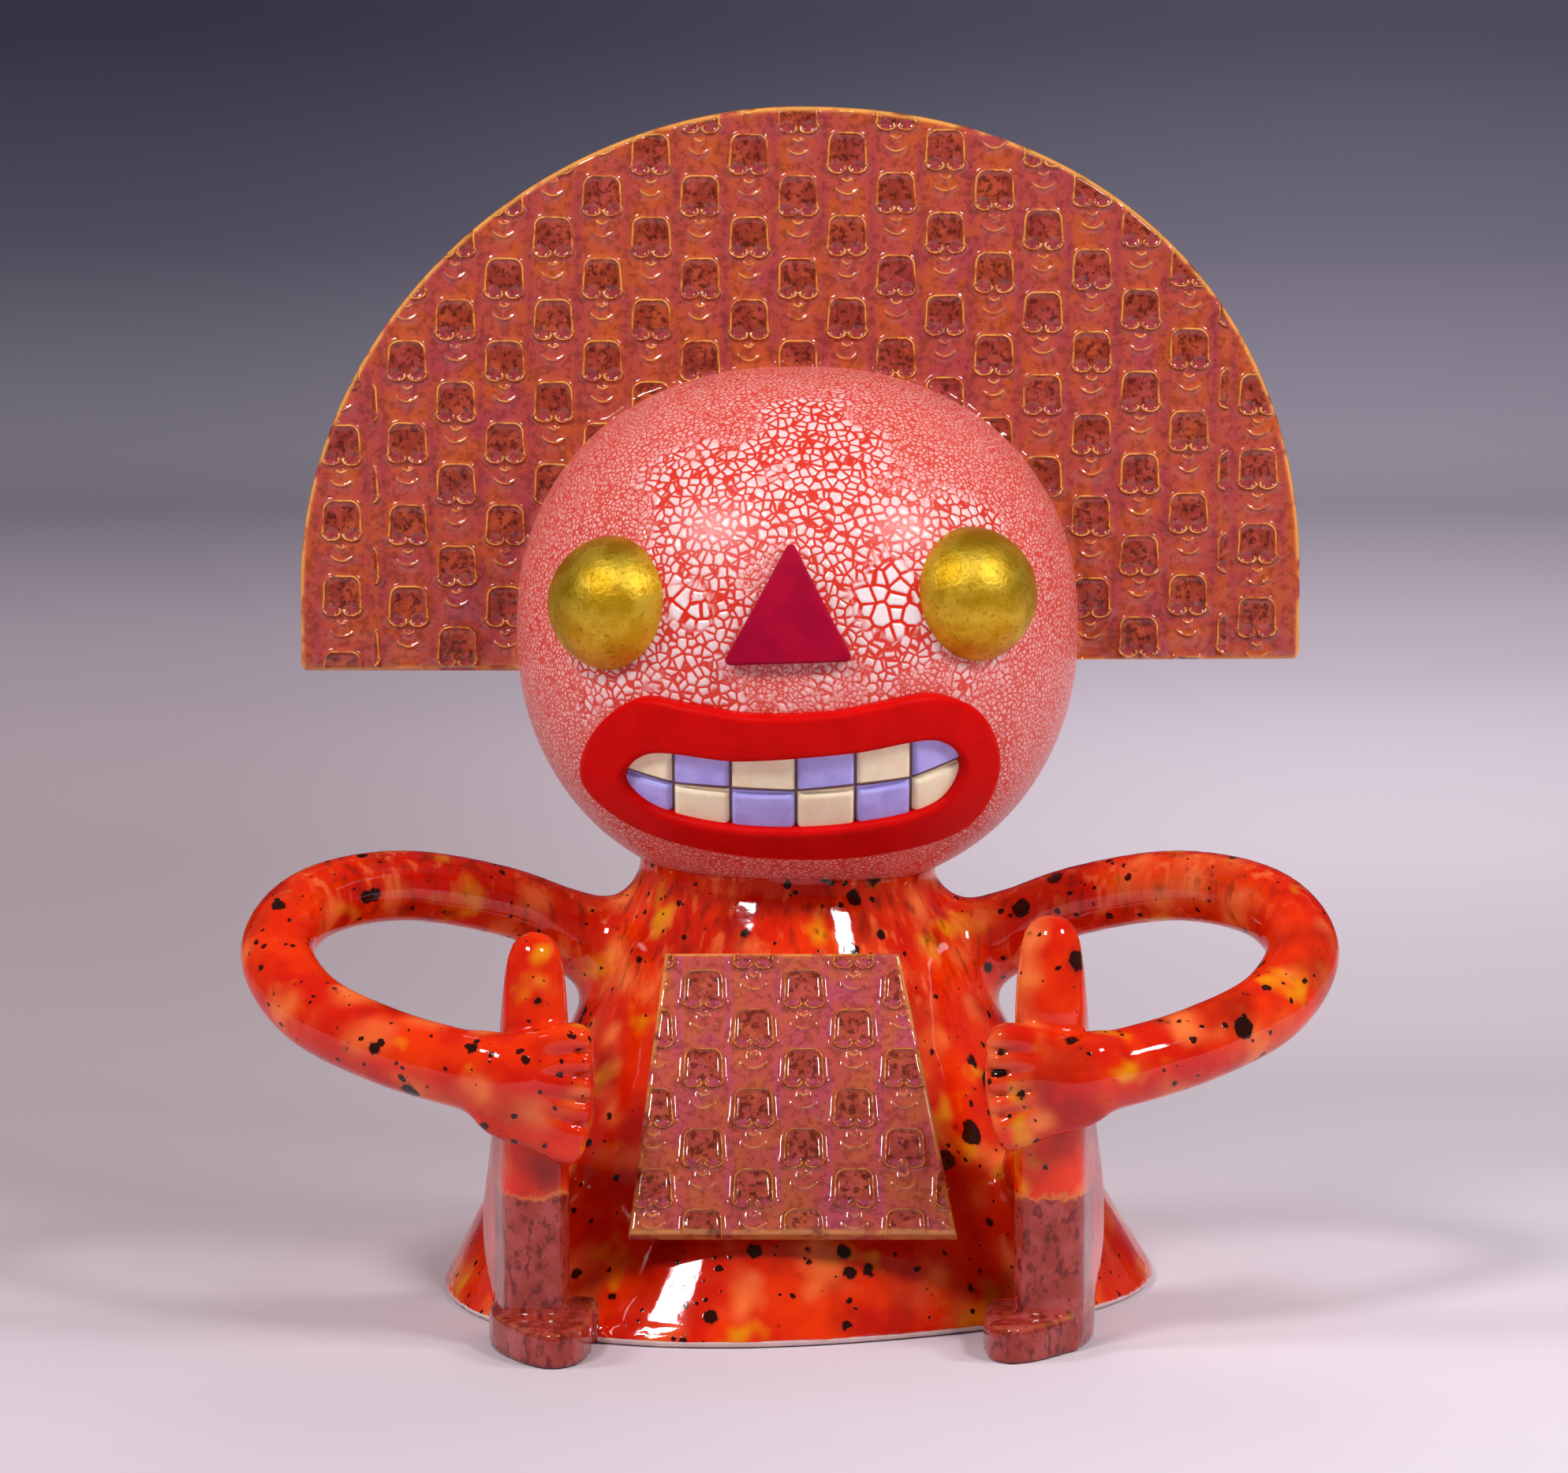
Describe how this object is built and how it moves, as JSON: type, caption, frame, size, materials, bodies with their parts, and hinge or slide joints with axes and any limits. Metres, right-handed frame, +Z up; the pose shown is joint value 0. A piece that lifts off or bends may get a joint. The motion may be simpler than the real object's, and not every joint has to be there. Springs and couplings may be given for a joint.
{
  "type": "ceramic figure sculpture",
  "caption": "Glazed ceramic seated figure: bell-shaped body, arms looping out to the knees, ball head with gold eyes, stamped fan headdress and stamped apron.",
  "frame": {"origin": "middle of the underside, on the surface the figure stands on", "axes": "+Z up, the figure faces -Y, its own left hand is towards +X"},
  "size_m": [0.3578, 0.2672, 0.3948],
  "materials": {
    "orange_glaze": "gloss, red orange clouded with peach and yellow, black crystal specks",
    "crackle_glaze": "gloss crawl glaze, pale pink cells over red orange lines",
    "rust_glaze": "gloss, mottled rust and pink, amber where it breaks on the relief",
    "mauve_glaze": "gloss, mottled mauve and maroon, amber where it breaks on the relief",
    "gold_leaf": "gold leaf laid by hand over ceramic, fine wrinkles",
    "crimson_matt": "matt",
    "red_matt": "matt to satin",
    "teeth_satin": "satin, cream and lilac by turns, brown in the grooves"
  },
  "bodies": {
    "root": {"body": "orange_glaze", "head": "crackle_glaze", "headdress": "rust_glaze", "apron": "mauve_glaze", "right_eye": "gold_leaf", "left_eye": "gold_leaf", "nose": "crimson_matt", "lips": "red_matt", "teeth": "teeth_satin"}
  },
  "joints": []
}
